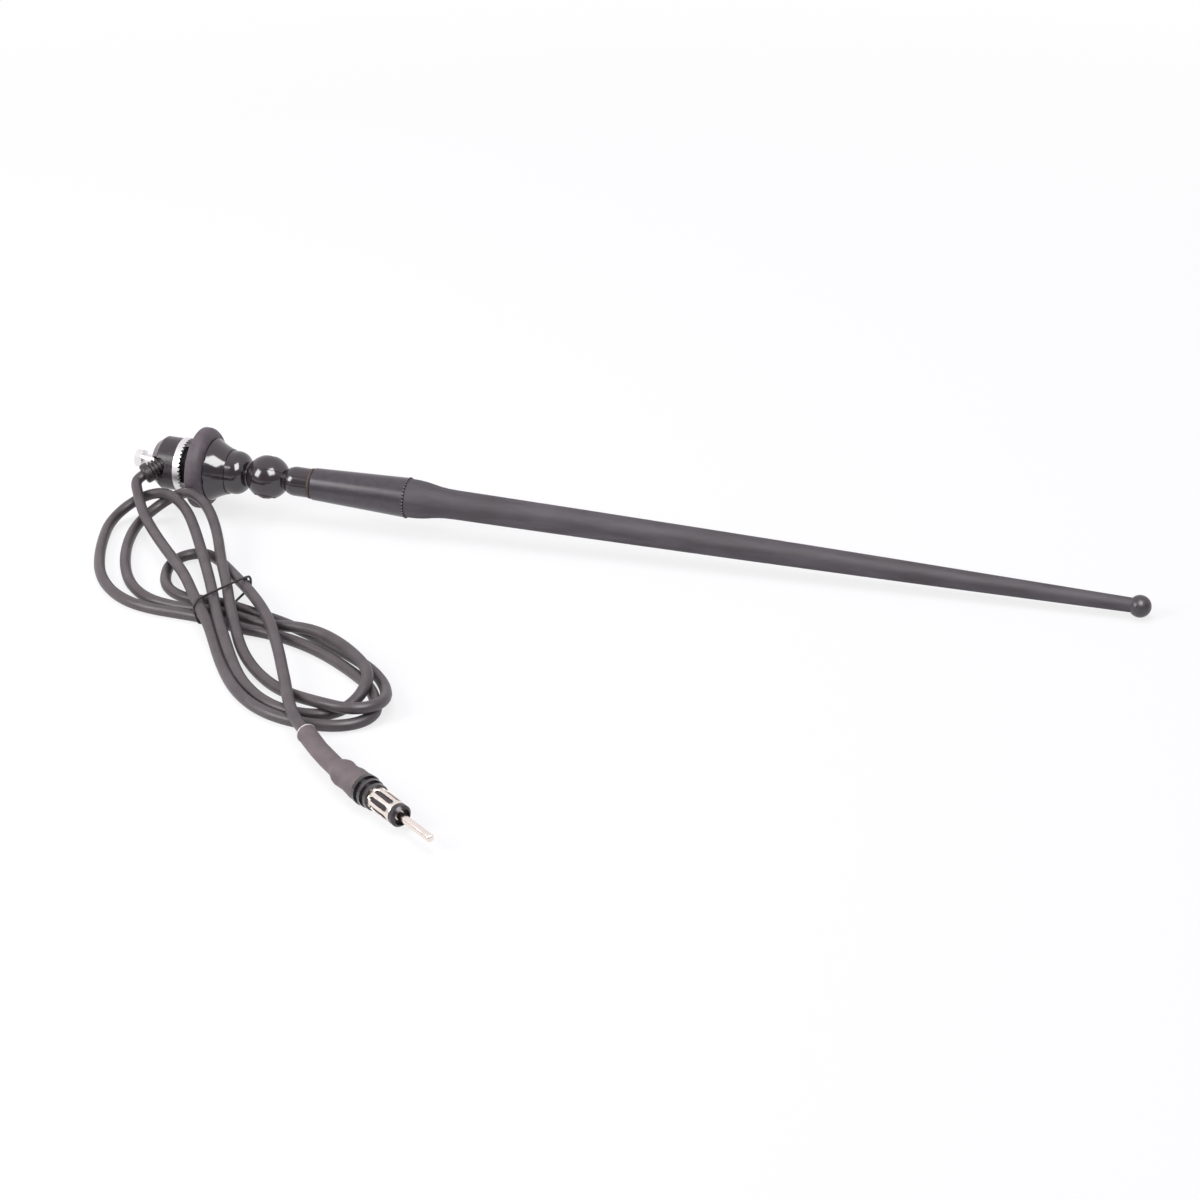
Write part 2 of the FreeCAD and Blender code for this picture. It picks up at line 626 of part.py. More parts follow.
# Stations along the plug, which lies on its collar, a little nose down
collar_end = SLEEVE_LENGTH + COLLAR_LENGTH
shell_start = collar_end - SHELL_IN_COLLAR
shell_end = collar_end + SHELL_LENGTH
nose_end = shell_end + NOSE_LENGTH
dish_floor = nose_end - NOSE_DISH
collar_land = COLLAR_LENGTH / (2 * COLLAR_GROOVES + 1)
plug_start = V(PLUG_BEND[0], PLUG_BEND[1], PLUG_HEIGHT)
plug_drop = math.degrees(math.asin((PLUG_HEIGHT - COLLAR_RADIUS) / (SLEEVE_LENGTH + collar_land)))
plug_direction = FreeCAD.Rotation(PLUG_TURN, plug_drop, 0).multVec(V(1, 0, 0))
sleeve_cut = V(*SLEEVE_CUT)
sleeve_direction = (plug_start - sleeve_cut).normalize()


def plugged(shape):
    return aimed(shape, plug_start, plug_direction)


def plug_sleeve():
    """Heat-shrink sleeve: a bent narrow run over the cable, and a step up to the plug's barrel."""
    socket = SLEEVE_LENGTH - BARREL_LENGTH - LOOSE
    step = SLEEVE_NARROW + SLEEVE_STEP
    bend = SLEEVE_NARROW + SLEEVE_STEP / 2
    fat = turned(
        (SLEEVE_NARROW, 0), (SLEEVE_NARROW, SLEEVE_RADIUS),
        ((bend, SLEEVE_RADIUS), (bend, SLEEVE_STEP_RADIUS), (step, SLEEVE_STEP_RADIUS)),
        (SLEEVE_LENGTH, SLEEVE_END_RADIUS), (SLEEVE_LENGTH, BARREL_RADIUS + SNUG),
        (socket, BARREL_RADIUS + SNUG), (socket, 0),
    )
    meeting = plug_start + plug_direction * SLEEVE_NARROW
    narrow = cord([sleeve_cut, plug_start, meeting], SLEEVE_RADIUS)
    entry = Part.makeCylinder(CABLE_RADIUS + SNUG, SLEEVE_ENTRY, sleeve_cut, sleeve_direction)
    return plugged(fat).fuse(narrow).removeSplitter().cut(entry)


def plug_collar():
    """Collar of rings, each smaller than the last, with a barrel behind and a socket in front."""
    path = [(SLEEVE_LENGTH - BARREL_LENGTH, 0), (SLEEVE_LENGTH - BARREL_LENGTH, BARREL_RADIUS)]
    path += [(SLEEVE_LENGTH, BARREL_RADIUS), (SLEEVE_LENGTH, COLLAR_RADIUS)]
    ring = COLLAR_RADIUS
    for k in range(COLLAR_GROOVES):
        start = SLEEVE_LENGTH + (2 * k + 1) * collar_land
        path += [(start, ring), (start, ring - COLLAR_GROOVE - COLLAR_TAPER)]
        path += [(start + collar_land, ring - COLLAR_GROOVE - COLLAR_TAPER)]
        ring -= COLLAR_TAPER
        path += [(start + collar_land, ring)]
    path += [(collar_end, ring), (collar_end, SHELL_RADIUS + SNUG)]
    path += [(shell_start, SHELL_RADIUS + SNUG), (shell_start, 0)]
    return turned(*path)


def plug_shell():
    """Springy nickel shell, a little full in the middle, with long windows."""
    inner = SHELL_RADIUS - SHELL_WALL
    middle = (collar_end + shell_end) / 2
    shell = turned(
        (shell_start, inner), (shell_start, SHELL_RADIUS), (collar_end, SHELL_RADIUS),
        ((middle, SHELL_RADIUS + SHELL_BULGE), (shell_end, SHELL_RADIUS)), (shell_end, inner),
    )
    half = WINDOW_WIDTH / 2
    start = collar_end + WINDOW_START + half
    end = start + WINDOW_LENGTH - WINDOW_WIDTH
    slot = Part.makeBox(end - start, WINDOW_WIDTH, 2 * SHELL_RADIUS, V(start, -half, 0))
    for station in (start, end):
        slot = slot.fuse(Part.makeCylinder(half, 2 * SHELL_RADIUS, V(station, 0, 0)))
    return shell.cut(Part.makeCompound(spun(slot.removeSplitter(), SHELL_WINDOWS)))


def plug_insulator():
    """Insulator that fills the shell and ends in a dished nose."""
    core = SHELL_RADIUS - SHELL_WALL - SNUG
    hole = PIN_NECK_RADIUS + SNUG
    neck = dish_floor - PIN_NECK
    root = dish_floor - PIN_ROOT - LOOSE
    return turned(
        (shell_start, 0), (shell_start, core), (shell_end, core), (shell_end, SHELL_RADIUS),
        (nose_end - NOSE_DISH / 2, SHELL_RADIUS), (nose_end, SHELL_RADIUS - NOSE_DISH / 2),
        (nose_end, NOSE_DISH_RADIUS), (dish_floor, NOSE_DISH_RADIUS), (dish_floor, hole),
        (neck, hole), (neck, PIN_ROOT_RADIUS + SNUG), (root, PIN_ROOT_RADIUS + SNUG), (root, 0),
    )


def plug_pin():
    """Centre pin with a rounded tip and a thicker root held in the insulator."""
    root = dish_floor - PIN_ROOT
    neck = dish_floor - PIN_NECK
    tip = dish_floor + PIN_LENGTH
    bend = PIN_ROUND * math.sqrt(0.5)
    flat = PIN_RADIUS - PIN_ROUND
    return turned(
        (root, 0), (root, PIN_ROOT_RADIUS), (neck, PIN_ROOT_RADIUS), (neck, PIN_NECK_RADIUS),
        (dish_floor, PIN_NECK_RADIUS), (dish_floor, PIN_RADIUS), (tip - PIN_ROUND, PIN_RADIUS),
        ((tip - PIN_ROUND + bend, flat + bend), (tip, flat)), (tip, 0),
    )


def cable_tie():
    """Thin tie round the waist of the hank, flat on the floor below."""
    return waisted(tie_band(0))


def tie_band(room):
    """The tie about the waist's own middle, grown by some room for its groove."""
    length = WAIST_LENGTH + 2 * SNUG
    height = WAIST_HEIGHT + SNUG - TIE_THICKNESS
    grown = TIE_THICKNESS + room
    width = TIE_WIDTH + 2 * room
    inside = Part.makeBox(length, 2 * width, height - SNUG, V(-length / 2, -width, TIE_THICKNESS))
    outside = Part.makeBox(length + 2 * grown, width, height + grown + TIE_THICKNESS,
                           V(-length / 2 - grown, -width / 2, 0))
    corners = [e for e in outside.Edges if abs(e.tangentAt(e.FirstParameter).y) > 0.9]
    return outside.makeFillet(TIE_ROUND, corners).cut(inside)


def waisted(shape):
    place = V(WAIST_CENTRE[0], WAIST_CENTRE[1], 0)
    return shape.transformed(FreeCAD.Placement(place, FreeCAD.Rotation(V(0, 0, 1), WAIST_TURN)).toMatrix())


def smooth_face(outline):
    curve = Part.BSplineCurve()
    curve.interpolate([V(x, y, 0) for x, y in outline], PeriodicFlag=True)
    return Part.Face(Part.Wire([curve.toShape()]))


def cable_hank():
    """The figure-eight's outer shape: a flat layer with two open eyes, and the bundle at its waist."""
    up = V(0, 0, HANK_HEIGHT)
    layer = smooth_face(HANK_OUTLINE).extrude(up)
    for eye in (HANK_LEFT_EYE, HANK_RIGHT_EYE):
        layer = layer.cut(smooth_face(eye).extrude(up))
    bundle = Part.makeBox(WAIST_LENGTH, WAIST_WIDTH, WAIST_HEIGHT, V(-WAIST_LENGTH / 2, -WAIST_WIDTH / 2, 0))
    upright = [e for e in bundle.Edges if abs(e.tangentAt(e.FirstParameter).z) > 0.9]
    bundle = bundle.makeFillet(WAIST_ROUND, upright)
    return layer.fuse(waisted(bundle)).cut(waisted(tie_band(SNUG)))


def cable_lead():
    place, direction = boot_place()
    leave = RESTING.multVec(place + direction * boot_length())
    out = RESTING.Rotation.multVec(direction)
    return cord([leave, leave + out * CABLE_EXIT_RUN] + [V(*p) for p in LEAD_ROUTE], CABLE_RADIUS)


def cable_tail():
    last = sleeve_cut - sleeve_direction * PLUG_LEAD_IN
    end = sleeve_cut + sleeve_direction * SLEEVE_ENTRY
    return cord([V(*p) for p in TAIL_ROUTE] + [last, end], CABLE_RADIUS)


ON_AXIS = [
    mast_rubber, mast_core, tip_ball, ferrule, mast_stud, ferrule_ring, knuckle_mast_half,
    knuckle_base_half, knuckle_screw, knuckle_washer, knuckle_nut, base_cone, base_pad, panel_bush,
    centre_stud, claw_ring, lower_housing, clamp_bolt, core_tag, strain_relief,
]
ON_PLUG = [plug_collar, plug_shell, plug_insulator, plug_pin]
ON_FLOOR = [cable_lead, cable_hank, cable_tail, cable_tie, plug_sleeve]

pieces = {make.__name__: laid_down(make()) for make in ON_AXIS}
pieces.update({make.__name__: plugged(make()) for make in ON_PLUG})
pieces.update({make.__name__: make() for make in ON_FLOOR})

for name, shape in pieces.items():
    solid = shape.Solids[0] if len(shape.Solids) == 1 else shape
    solid.exportStep("parts/%s.step" % name)

print("ball centre", RESTING.multVec(V(ball, 0, 0)))
print("pivot axis", RESTING.Rotation.multVec(PIVOT_AXIS))
print("panel seat", RESTING.multVec(V(0, 0, 0)), RESTING.Rotation.multVec(V(-1, 0, 0)))
pin_wall = PIN_LENGTH - PIN_ROUND
print("pin wall", pin_wall, plug_start + plug_direction * (dish_floor + pin_wall / 2), plug_direction)
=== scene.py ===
import json
import math

import bmesh
import bpy
from mathutils import Matrix, Vector


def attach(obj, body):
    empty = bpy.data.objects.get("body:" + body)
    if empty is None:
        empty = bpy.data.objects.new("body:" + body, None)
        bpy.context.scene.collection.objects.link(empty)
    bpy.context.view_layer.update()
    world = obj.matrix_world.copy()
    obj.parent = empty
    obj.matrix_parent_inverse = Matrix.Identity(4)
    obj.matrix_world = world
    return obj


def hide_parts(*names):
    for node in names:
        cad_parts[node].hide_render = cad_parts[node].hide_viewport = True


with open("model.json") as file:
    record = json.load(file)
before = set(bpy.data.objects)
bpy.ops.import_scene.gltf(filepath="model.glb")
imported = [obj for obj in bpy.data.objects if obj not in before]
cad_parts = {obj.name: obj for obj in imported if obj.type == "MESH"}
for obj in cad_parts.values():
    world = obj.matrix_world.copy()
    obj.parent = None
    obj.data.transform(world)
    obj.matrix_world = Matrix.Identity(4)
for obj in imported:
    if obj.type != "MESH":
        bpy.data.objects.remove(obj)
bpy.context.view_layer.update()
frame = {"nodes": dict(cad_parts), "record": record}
nodes = frame["nodes"]

# Panel bush. A moulded insulator that passes the hole in the panel and keeps the live stud off the
# bodywork. Its edge is all that shows, in the gap that takes the panel.
MM = 0.001


def linear(hex_code):
    """An sRGB hex colour as linear red, green, blue and alpha."""
    parts = [int(hex_code[k:k + 2], 16) / 255 for k in (1, 3, 5)]
    return [c / 12.92 if c <= 0.04045 else ((c + 0.055) / 1.055) ** 2.4 for c in parts] + [1.0]


def add(tree, kind, settings, inputs):
    """Adds a node with its own settings; each input takes a value or another node's output."""
    made = tree.nodes.new(kind)
    for name, value in settings.items():
        setattr(made, name, value)
    for socket, value in inputs.items():
        if isinstance(value, bpy.types.NodeSocket):
            tree.links.new(value, made.inputs[socket])
        else:
            made.inputs[socket].default_value = value
    return made


def moulded(name, dark, light, patch, rough, grain, depth, along=(1.0, 1.0, 1.0)):
    """A skin of two close shades in soft patches, with a grain that is drawn coarser than the real one
    so that it shows. Sizes are in millimetres; an axis with a small share in along has its patches
    drawn out into streaks."""
    material = bpy.data.materials.new(name)
    material.use_nodes = True
    tree = material.node_tree
    shader = tree.nodes["Principled BSDF"]
    place = add(tree, "ShaderNodeTexCoord", {}, {}).outputs["Object"]
    drawn = add(tree, "ShaderNodeVectorMath", {"operation": "MULTIPLY"}, {0: place, 1: along})
    patches = add(tree, "ShaderNodeTexNoise", {},
                  {"Vector": drawn.outputs[0], "Scale": 1 / (patch * MM), "Detail": 5.0}).outputs[0]
    shades = add(tree, "ShaderNodeMapRange", {}, {"Value": patches, "From Min": 0.35, "From Max": 0.65})
    skin = add(tree, "ShaderNodeMix", {"data_type": "RGBA"},
               {0: shades.outputs[0], 6: linear(dark), 7: linear(light)})
    gloss = add(tree, "ShaderNodeMapRange", {}, {"Value": patches, "To Min": rough[0], "To Max": rough[1]})
    fine = add(tree, "ShaderNodeTexNoise", {}, {"Vector": place, "Scale": 1 / (grain * MM), "Detail": 2.0})
    bump = add(tree, "ShaderNodeBump", {}, {"Height": fine.outputs[0], "Distance": depth * MM})
    tree.links.new(skin.outputs[2], shader.inputs["Base Color"])
    tree.links.new(gloss.outputs[0], shader.inputs["Roughness"])
    tree.links.new(bump.outputs[0], shader.inputs["Normal"])
    return material


def dress(material, *names):
    """Gives a finish to pieces that keep their solid's own mesh."""
    for name in names:
        nodes[name].data.materials.clear()
        nodes[name].data.materials.append(material)


# Moulded nylon: matt black, made darker still as painted shade, so the panel gap reads as a deep slot
bush_nylon_and_gap_shade = moulded("black_nylon_and_gap_shade", "#161516", "#1e1c1d", 4.0, (0.5, 0.65), 0.4, 0.01)
dress(bush_nylon_and_gap_shade, "panel_bush")

# Live stud and solder tag. Turned brass, hidden inside the base: the stud takes the signal from the
# ball down to the clamp bolt, and the tag on it takes the cable's core.


def plated(name, colour, rough, cloud):
    """Bare or plated metal with duller clouds, each about as wide as given in millimetres."""
    material = bpy.data.materials.new(name)
    material.use_nodes = True
    tree = material.node_tree
    shader = tree.nodes["Principled BSDF"]
    shader.inputs["Metallic"].default_value = 1.0
    shader.inputs["Base Color"].default_value = linear(colour)
    place = add(tree, "ShaderNodeTexCoord", {}, {}).outputs["Object"]
    clouds = add(tree, "ShaderNodeTexNoise", {},
                 {"Vector": place, "Scale": 1 / (cloud * MM), "Detail": 4.0})
    gloss = add(tree, "ShaderNodeMapRange", {},
                {"Value": clouds.outputs[0], "From Min": 0.3, "From Max": 0.7,
                 "To Min": rough[0], "To Max": rough[1]})
    tree.links.new(gloss.outputs[0], shader.inputs["Roughness"])
    return material


# Turned brass: yellow and bright, with a soft lathe finish
brass = plated("turned_brass", "#d8b878", (0.2, 0.45), 3.0)
dress(brass, "centre_stud", "core_tag")

# Base pad. A thick moulded rubber disc that seals the base on the panel; it is soft, with a rounded
# rim, and keeps the dull face of its mould.
# Mould-fresh rubber: charcoal with a grey bloom, almost no shine
pad_rubber = moulded("pad_rubber", "#50484d", "#62595e", 5.0, (0.52, 0.68), 0.35, 0.02)
dress(pad_rubber, "base_pad")

# Base cone. A flared cover moulded in glossy black plastic, dropped over the stud; its foot sits in
# the pad and its top ring carries the dome.


def polished(material, level):
    """Raises the share of light that a smooth skin mirrors; 0.5 is plain plastic."""
    material.node_tree.nodes["Principled BSDF"].inputs["Specular IOR Level"].default_value = level


# Polished black plastic: deep black, with clear reflections of the lamps and the white floor
cone_plastic = moulded("polished_black_plastic", "#2a2227", "#30272d", 8.0, (0.1, 0.15), 2.5, 0.001)
polished(cone_plastic, 0.9)
dress(cone_plastic, "base_cone")

# Swivel ball. Two die-cast halves that meet on a plane across the pivot: one carries the dome on the
# base, the other the neck of the mast. Both are enamelled, then clamped face to face by the screw.
# Gloss enamel on die-cast zinc: black, a little warm, slightly wavy as paint is
enamel = moulded("black_enamel", "#282025", "#2e252b", 6.0, (0.12, 0.18), 2.5, 0.0012)
polished(enamel, 0.9)
dress(enamel, "knuckle_base_half", "knuckle_mast_half")

# Pivot screw, its washer and its nut. Plated steel, sunk in the ball so that only the head shows in
# its counterbore. The stud that joins the ferrule to the neck has the same plating.
# Zinc plate coloured dull grey as painted shade, for pieces that sit deep in a black hole
zinc_plate_in_shade = plated("zinc_plate_with_painted_shade", "#6f6c6b", (0.3, 0.5), 1.5)
dress(zinc_plate_in_shade, "knuckle_washer", "knuckle_nut", "mast_stud")


def solid_copy(maker, name):
    """The finished mesh of a curve or of a node-built object, as a new object; the maker goes."""
    seen = maker.evaluated_get(bpy.context.evaluated_depsgraph_get())
    mesh = bpy.data.meshes.new_from_object(seen)
    mesh.name = name
    bpy.data.objects.remove(maker)
    made = bpy.data.objects.new(name, mesh)
    bpy.context.scene.collection.objects.link(made)
    return made


def skinned(name, rings, material, looped=False):
    """A closed skin over rings of points: capped at both ends, or looped back to its first ring."""
    count = len(rings[0])
    walls = []
    for r in range(len(rings) if looped else len(rings) - 1):
        near, far = r * count, (r + 1) % len(rings) * count
        walls += [(near + k, near + (k + 1) % count, far + (k + 1) % count, far + k) for k in range(count)]
    if not looped:
        walls.append(tuple(reversed(range(count))))
        walls.append(tuple(range((len(rings) - 1) * count, len(rings) * count)))
    skin = bmesh.new()
    spots = [skin.verts.new(place) for ring in rings for place in ring]
    for wall in walls:
        skin.faces.new([spots[k] for k in wall]).smooth = True
    bmesh.ops.recalc_face_normals(skin, faces=skin.faces)
    mesh = bpy.data.meshes.new(name)
    skin.to_mesh(mesh)
    skin.free()
    mesh.set_sharp_from_angle(angle=math.radians(35))
    mesh.materials.append(material)
    made = bpy.data.objects.new(name, mesh)
    bpy.context.scene.collection.objects.link(made)
    return made


# Blackened steel: the screw's domed head is almost as dark as the ball round it
black_steel = plated("blackened_steel", "#4a4245", (0.25, 0.35), 1.5)
BALL_CENTRE = Vector((-0.17272, 0.0, 0.01825))
PIVOT_WAY = Vector((-0.02755, -0.52992, -0.84760))
SCREW_OUTLINE = [
    (-8.0, 2.0), (6.15, 2.0), (6.15, 4.5), (7.4, 4.75), (8.3, 4.6), (9.0, 4.1),
    (9.6, 3.2), (10.05, 2.1), (10.25, 0.9),
]
RECESS_SPAN = 4.4
RECESS_WIDTH = 0.9
RECESS_FLOOR = 8.6
BLADE_LENGTH = 4.0
SCREW_SIDES = 48
pivot_side = PIVOT_WAY.cross(Vector((1, 0, 0))).normalized()
pivot_up = PIVOT_WAY.cross(pivot_side)


def on_pivot(step, across, rise):
    """A point by the pivot: a way along its axis from the ball's centre, then across and up."""
    return BALL_CENTRE + (PIVOT_WAY * step + pivot_side * across + pivot_up * rise) * MM


screw_turns = [math.tau * k / SCREW_SIDES for k in range(SCREW_SIDES)]
screw_rings = [[on_pivot(step, radius * math.cos(turn), radius * math.sin(turn)) for turn in screw_turns]
               for step, radius in SCREW_OUTLINE]
screw_blank = skinned("screw_blank", screw_rings, black_steel)
blades = []
for wide, high in ((RECESS_SPAN, RECESS_WIDTH), (RECESS_WIDTH, RECESS_SPAN)):
    corners = [(-wide / 2, -high / 2), (wide / 2, -high / 2), (wide / 2, high / 2), (-wide / 2, high / 2)]
    blade_rings = [[on_pivot(step, x, y) for x, y in corners]
                   for step in (RECESS_FLOOR, RECESS_FLOOR + BLADE_LENGTH)]
    blades.append(skinned("blade", blade_rings, black_steel))
    screw_blank.modifiers.new("recess", "BOOLEAN").object = blades[-1]
screw = solid_copy(screw_blank, "pivot_screw")
for blade in blades:
    bpy.data.objects.remove(blade)
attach(screw, "base")
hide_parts("knuckle_screw")

# Ferrule ring. A thin washer of pressed fibre, clamped between the neck and the ferrule when the
# stud is screwed home.
# Pressed fibre: dull brown, with pale strands
fibre = moulded("pressed_fibre", "#3a2e28", "#55443b", 0.8, (0.55, 0.75), 0.25, 0.02)
dress(fibre, "ferrule_ring")

# Ferrule. A tapered sleeve turned from alloy and coated satin black; a ring of fine notches at its
# wide end grips the rubber.
# Satin coating: soft, with long bluish highlights
satin = moulded("satin_black_coating", "#2f2930", "#3a323b", 3.0, (0.26, 0.36), 0.3, 0.004)
polished(satin, 0.8)
dress(satin, "ferrule")


def grown(name, tree, sizes):
    """Runs a node tree on an empty object with the sizes given by socket name, and keeps the mesh."""
    maker = bpy.data.objects.new(name, bpy.data.meshes.new(name))
    bpy.context.scene.collection.objects.link(maker)
    growth = maker.modifiers.new("growth", "NODES")
    growth.node_group = tree
    for socket in tree.interface.items_tree:
        if socket.in_out == "INPUT":
            growth[socket.identifier] = sizes[socket.name]
    return solid_copy(maker, name)


# Rubber pressed into the notches, coloured near black as painted shade: the notches lie in shadow, and the
# rim is painted as a row of black dots
notch_painted_shade = moulded("notch_painted_shade", "#0d0b0d", "#121012", 1.0, (0.6, 0.7), 0.4, 0.004)
# Worn coating and painted highlight: the edges between the notches are rubbed and catch the light, so each
# one is painted as a pale fleck
wear_and_highlight_edge = moulded("wear_and_highlight_notch_edge", "#8f878b", "#9f979b", 1.0, (0.4, 0.5), 0.4, 0.004)
row = bpy.data.node_groups.new("notch_row", "GeometryNodeTree")
for label, kind in (("Notches", "Int"), ("Rim", "Float"), ("Dot", "Float"), ("Finish", "Material")):
    row.interface.new_socket(label, in_out="INPUT", socket_type="NodeSocket" + kind)
row.interface.new_socket("Geometry", in_out="OUTPUT", socket_type="NodeSocketGeometry")
row_sizes = add(row, "NodeGroupInput", {}, {}).outputs
row_ring = add(row, "GeometryNodeCurvePrimitiveCircle", {},
               {"Resolution": row_sizes["Notches"], "Radius": row_sizes["Rim"]})
row_dot = add(row, "GeometryNodeMeshIcoSphere", {}, {"Radius": row_sizes["Dot"], "Subdivisions": 2})
row_set = add(row, "GeometryNodeInstanceOnPoints", {},
              {"Points": row_ring.outputs[0], "Instance": row_dot.outputs[0]})
row_real = add(row, "GeometryNodeRealizeInstances", {}, {0: row_set.outputs[0]})
row_skin = add(row, "GeometryNodeSetMaterial", {},
               {"Geometry": row_real.outputs[0], "Material": row_sizes["Finish"]})
add(row, "NodeGroupOutput", {}, {0: row_skin.outputs[0]})
MAST_WAY = Vector((0.99947, 0.0, -0.03249))
RIM_CENTRE = Vector((-0.10282, 0.0, 0.01598))
NOTCHES = 36
DOT_RING = 0.00922
DOT_RADIUS = 0.0005
EDGE_RING = 0.0093
EDGE_RADIUS = 0.0003
on_rim = Matrix.Translation(RIM_CENTRE) @ MAST_WAY.to_track_quat("Z", "Y").to_matrix().to_4x4()
half_step = Matrix.Rotation(math.pi / NOTCHES, 4, "Z")
# The row of black dots: painted shade in the notches
notch_row = grown("notch_row", row, {"Notches": NOTCHES, "Rim": DOT_RING, "Dot": DOT_RADIUS,
                                     "Finish": notch_painted_shade})
notch_row.data.transform(on_rim)
# The pale flecks: painted highlight and wear on the edges between the notches
edge_row = grown("edge_row", row, {"Notches": NOTCHES, "Rim": EDGE_RING, "Dot": EDGE_RADIUS,
                                   "Finish": wear_and_highlight_edge})
edge_row.data.transform(on_rim @ half_step)
for piece in (notch_row, edge_row):
    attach(piece, "mast")

# Mast. Soft black rubber moulded over a spring-steel rod, in one long taper; a small ball is pressed
# over the end so that it can't stab.
# Handled rubber: grey-black and mottled, with pale scuffs lengthwise
mast_skin = moulded("mast_rubber", "#3e393c", "#534d52", 5.0, (0.58, 0.74), 0.6, 0.02, (0.2, 1.0, 1.0))
dress(mast_skin, "mast_rubber")
# Drawn spring steel: mid grey, hidden in the rubber
spring_steel = plated("drawn_spring_steel", "#b9b9bb", (0.25, 0.4), 2.0)
dress(spring_steel, "mast_core")
# Moulded plastic ball: semi-gloss black
ball_plastic = moulded("tip_plastic", "#444042", "#4d494b", 2.0, (0.26, 0.36), 0.5, 0.008)
dress(ball_plastic, "tip_ball")

# Claw ring. A stamped steel ring with a row of teeth that bite the panel's underside and earth the
# cable's screen. Bright zinc plate.
# Bright zinc: nearly white in this room
zinc = plated("bright_zinc_plate", "#e8e6e6", (0.34, 0.44), 2.5)
dress(zinc, "claw_ring")

# Lower housing. A cup moulded in black nylon with a bevelled end; a flat pocket in its side takes
# the cable's boot.
# Moulded nylon: dark grey, with a painted highlight in paler mauve-grey on the bevel and end
housing_nylon = moulded("housing_nylon", "#332d30", "#3d373b", 4.0, (0.22, 0.32), 0.5, 0.008)
BEVEL_TOP = -0.2247
BEVEL_BLEND = 0.6
housing_tree = housing_nylon.node_tree
housing_place = add(housing_tree, "ShaderNodeTexCoord", {}, {}).outputs["Object"]
housing_way = add(housing_tree, "ShaderNodeSeparateXYZ", {}, {0: housing_place})
# Painted highlight: the bevel and end are coloured paler mauve-grey, where they catch the light
bevel_highlight_mask = add(housing_tree, "ShaderNodeMapRange", {"interpolation_type": "SMOOTHSTEP"},
                    {"Value": housing_way.outputs["X"], "From Min": BEVEL_TOP,
                     "From Max": BEVEL_TOP - BEVEL_BLEND * MM})
housing_skin = housing_tree.nodes["Principled BSDF"].inputs["Base Color"]
housing_painted_highlight = add(housing_tree, "ShaderNodeMix", {"data_type": "RGBA"},
                    {0: bevel_highlight_mask.outputs[0], 6: housing_skin.links[0].from_socket,
                     7: linear("#6d6467")})
housing_tree.links.new(housing_painted_highlight.outputs[2], housing_skin)
dress(housing_nylon, "lower_housing")

# Clamp bolt. A steel hexagon bolt with the claw ring's bright plate; it screws into the live stud and
# draws the housing up against the panel.
dress(zinc, "clamp_bolt")

# Cable boot. Soft vinyl moulded on the cable where it leaves the housing, ribbed so that it bends
# evenly, with a fat end.
# Moulded vinyl: dark, with a soft shine on the ribs
boot_vinyl = moulded("boot_vinyl", "#2e282b", "#3a3437", 2.5, (0.36, 0.5), 0.4, 0.012)
dress(boot_vinyl, "strain_relief")

# Coax cable. One length, about 5 mm thick in its soft vinyl jacket, from the boot to the plug. It is
# folded into a loose figure-eight with three loops at each end, and the strands cross at the waist.
CABLE_DIAMETER = 0.005
LEAD = [
    (-0.2303, -0.0142, 0.0184), (-0.2322, -0.0164, 0.0172), (-0.2318, -0.0198, 0.0160),
    (-0.2286, -0.0248, 0.0139), (-0.2238, -0.0326, 0.0115), (-0.2176, -0.0410, 0.0095),
    (-0.2099, -0.0504, 0.0084), (-0.1987, -0.0640, 0.0082), (-0.1871, -0.0774, 0.0083),
    (-0.1750, -0.0921, 0.0086), (-0.1642, -0.1080, 0.0088), (-0.1572, -0.1180, 0.0087),
]
FIRST_RIGHT_LOOP = [
    (-0.1510, -0.1260, 0.0081), (-0.1460, -0.1325, 0.0067), (-0.1400, -0.1415, 0.0047),
    (-0.1315, -0.1550, 0.0030), (-0.1200, -0.1710, 0.0025), (-0.1100, -0.1815, 0.0025),
    (-0.1005, -0.1885, 0.0025), (-0.0900, -0.1930, 0.0025), (-0.0785, -0.1950, 0.0025),
    (-0.0680, -0.1945, 0.0025), (-0.0600, -0.1915, 0.0025), (-0.0545, -0.1855, 0.0025),
    (-0.0532, -0.1775, 0.0025), (-0.0568, -0.1690, 0.0025), (-0.0640, -0.1575, 0.0025),
    (-0.0750, -0.1480, 0.0025), (-0.0880, -0.1385, 0.0025), (-0.1000, -0.1315, 0.0025),
    (-0.1125, -0.1265, 0.0025), (-0.1245, -0.1238, 0.0025), (-0.1360, -0.1235, 0.0028),
]
FIRST_LEFT_LOOP = [
    (-0.1495, -0.1205, 0.0035), (-0.1605, -0.1170, 0.0025), (-0.1705, -0.1165, 0.0025),
    (-0.1820, -0.1155, 0.0025), (-0.1940, -0.1120, 0.0025), (-0.2065, -0.1035, 0.0025),
    (-0.2185, -0.0890, 0.0025), (-0.2275, -0.0705, 0.0025), (-0.2335, -0.0540, 0.0025),
    (-0.2375, -0.0395, 0.0030), (-0.2365, -0.0280, 0.0052), (-0.2310, -0.0210, 0.0088),
    (-0.2225, -0.0195, 0.0124), (-0.2140, -0.0225, 0.0142), (-0.2065, -0.0280, 0.0140),
    (-0.1980, -0.0365, 0.0128), (-0.1880, -0.0510, 0.0110), (-0.1770, -0.0690, 0.0096),
    (-0.1660, -0.0875, 0.0090), (-0.1570, -0.1035, 0.0088), (-0.1495, -0.1175, 0.0087),
    (-0.1428, -0.1295, 0.0083), (-0.1356, -0.1405, 0.0070),
]
